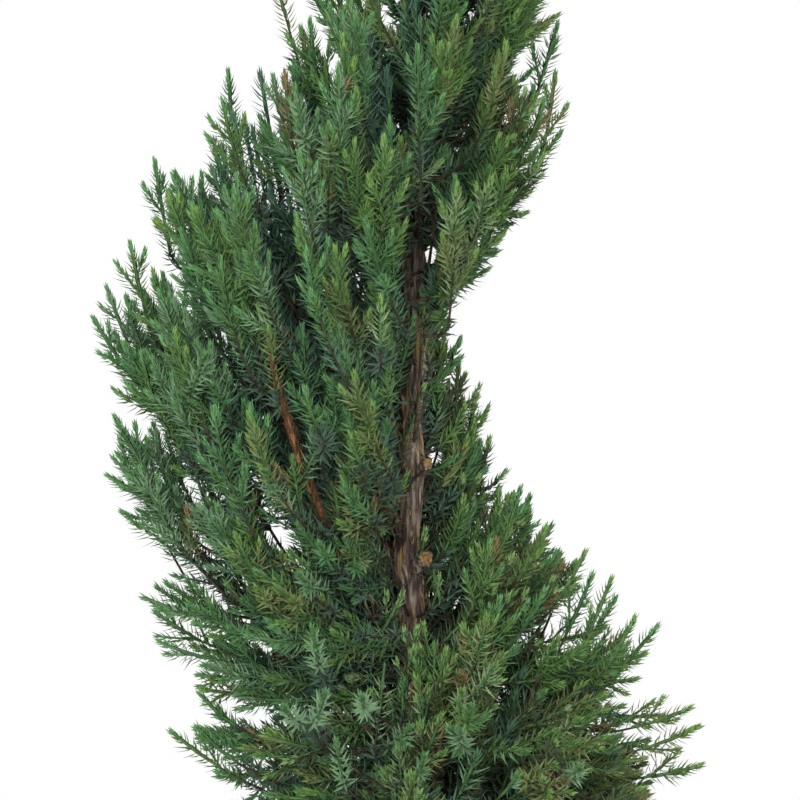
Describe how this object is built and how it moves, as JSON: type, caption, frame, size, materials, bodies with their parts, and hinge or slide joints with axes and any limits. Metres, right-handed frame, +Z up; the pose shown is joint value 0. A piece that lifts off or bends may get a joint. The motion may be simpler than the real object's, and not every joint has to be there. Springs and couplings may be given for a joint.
{
  "type": "spiral topiary",
  "caption": "Rooted evergreen shrub clipped into a spiral band of needle foliage that winds up its upright trunk, broad at the foot and pointed at the top.",
  "frame": {"origin": "centre of the trunk's flat cut at ground level", "axes": "+Z up the trunk, -Y towards the side where the channel lays the trunk bare, +X to the right seen from that side"},
  "size_m": [0.3802, 0.3883, 1.244],
  "materials": {
    "bark": "rough grey-brown bark that peels in upright strips",
    "bough_bark": "thin orange-brown bark of young boughs",
    "foliage": "dense matt green needles, bluish on their inner faces"
  },
  "bodies": {
    "root": {"trunk": "bark", "bough_01": "bough_bark", "bough_02": "bough_bark", "bough_03": "bough_bark", "bough_04": "bough_bark", "bough_05": "bough_bark", "bough_06": "bough_bark", "bough_07": "bough_bark", "bough_08": "bough_bark", "bough_09": "bough_bark", "bough_10": "bough_bark", "bough_11": "bough_bark", "foliage_01": "foliage", "foliage_02": "foliage", "foliage_03": "foliage", "foliage_04": "foliage", "foliage_05": "foliage", "foliage_06": "foliage", "foliage_07": "foliage", "foliage_08": "foliage", "foliage_09": "foliage", "foliage_10": "foliage", "foliage_11": "foliage", "foliage_12": "foliage"}
  },
  "joints": []
}
